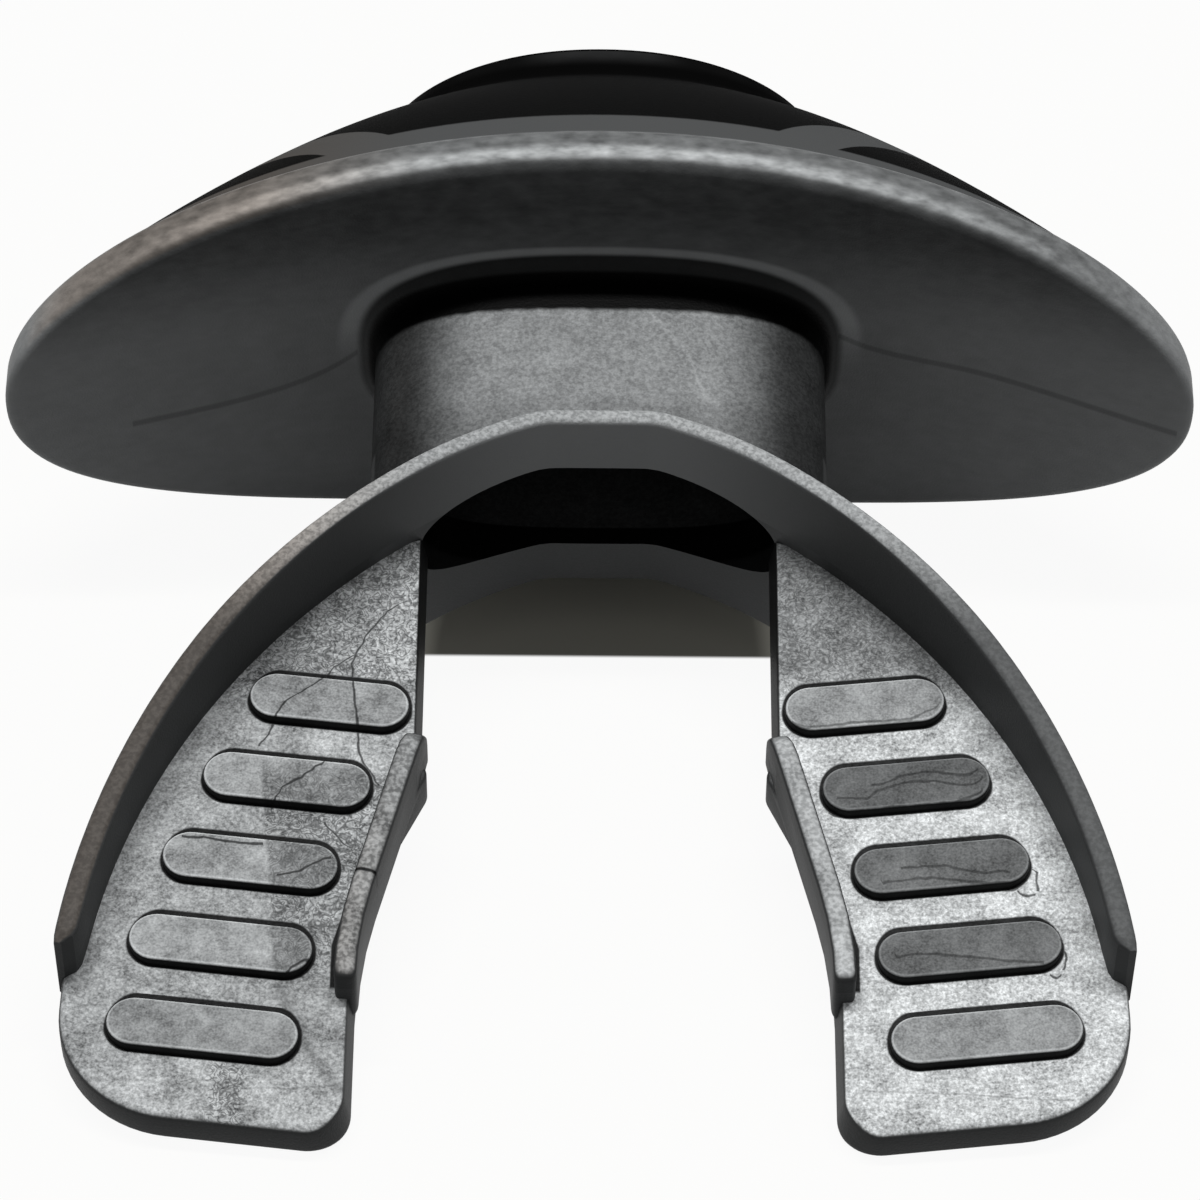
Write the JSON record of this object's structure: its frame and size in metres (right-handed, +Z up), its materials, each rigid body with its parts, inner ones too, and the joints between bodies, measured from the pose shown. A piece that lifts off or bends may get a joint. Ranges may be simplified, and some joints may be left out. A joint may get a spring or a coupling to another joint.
{
  "type": "mouthguard with lip guard",
  "caption": "One-piece mouthguard: U-shaped bite tray with ribbed arms, a hollow neck and a wide domed lip shield with a breathing port.",
  "frame": {"origin": "centre of the footprint, on the surface that the mouthguard lies on", "axes": "+Y from the throat towards the lips, +Z up from the table; the bite tray slopes up towards +Y"},
  "size_m": [0.0778, 0.0806, 0.0341],
  "materials": {
    "elastomer": "satin, with a metallic pigment"
  },
  "bodies": {
    "root": {"mouthguard": "elastomer"}
  },
  "joints": []
}
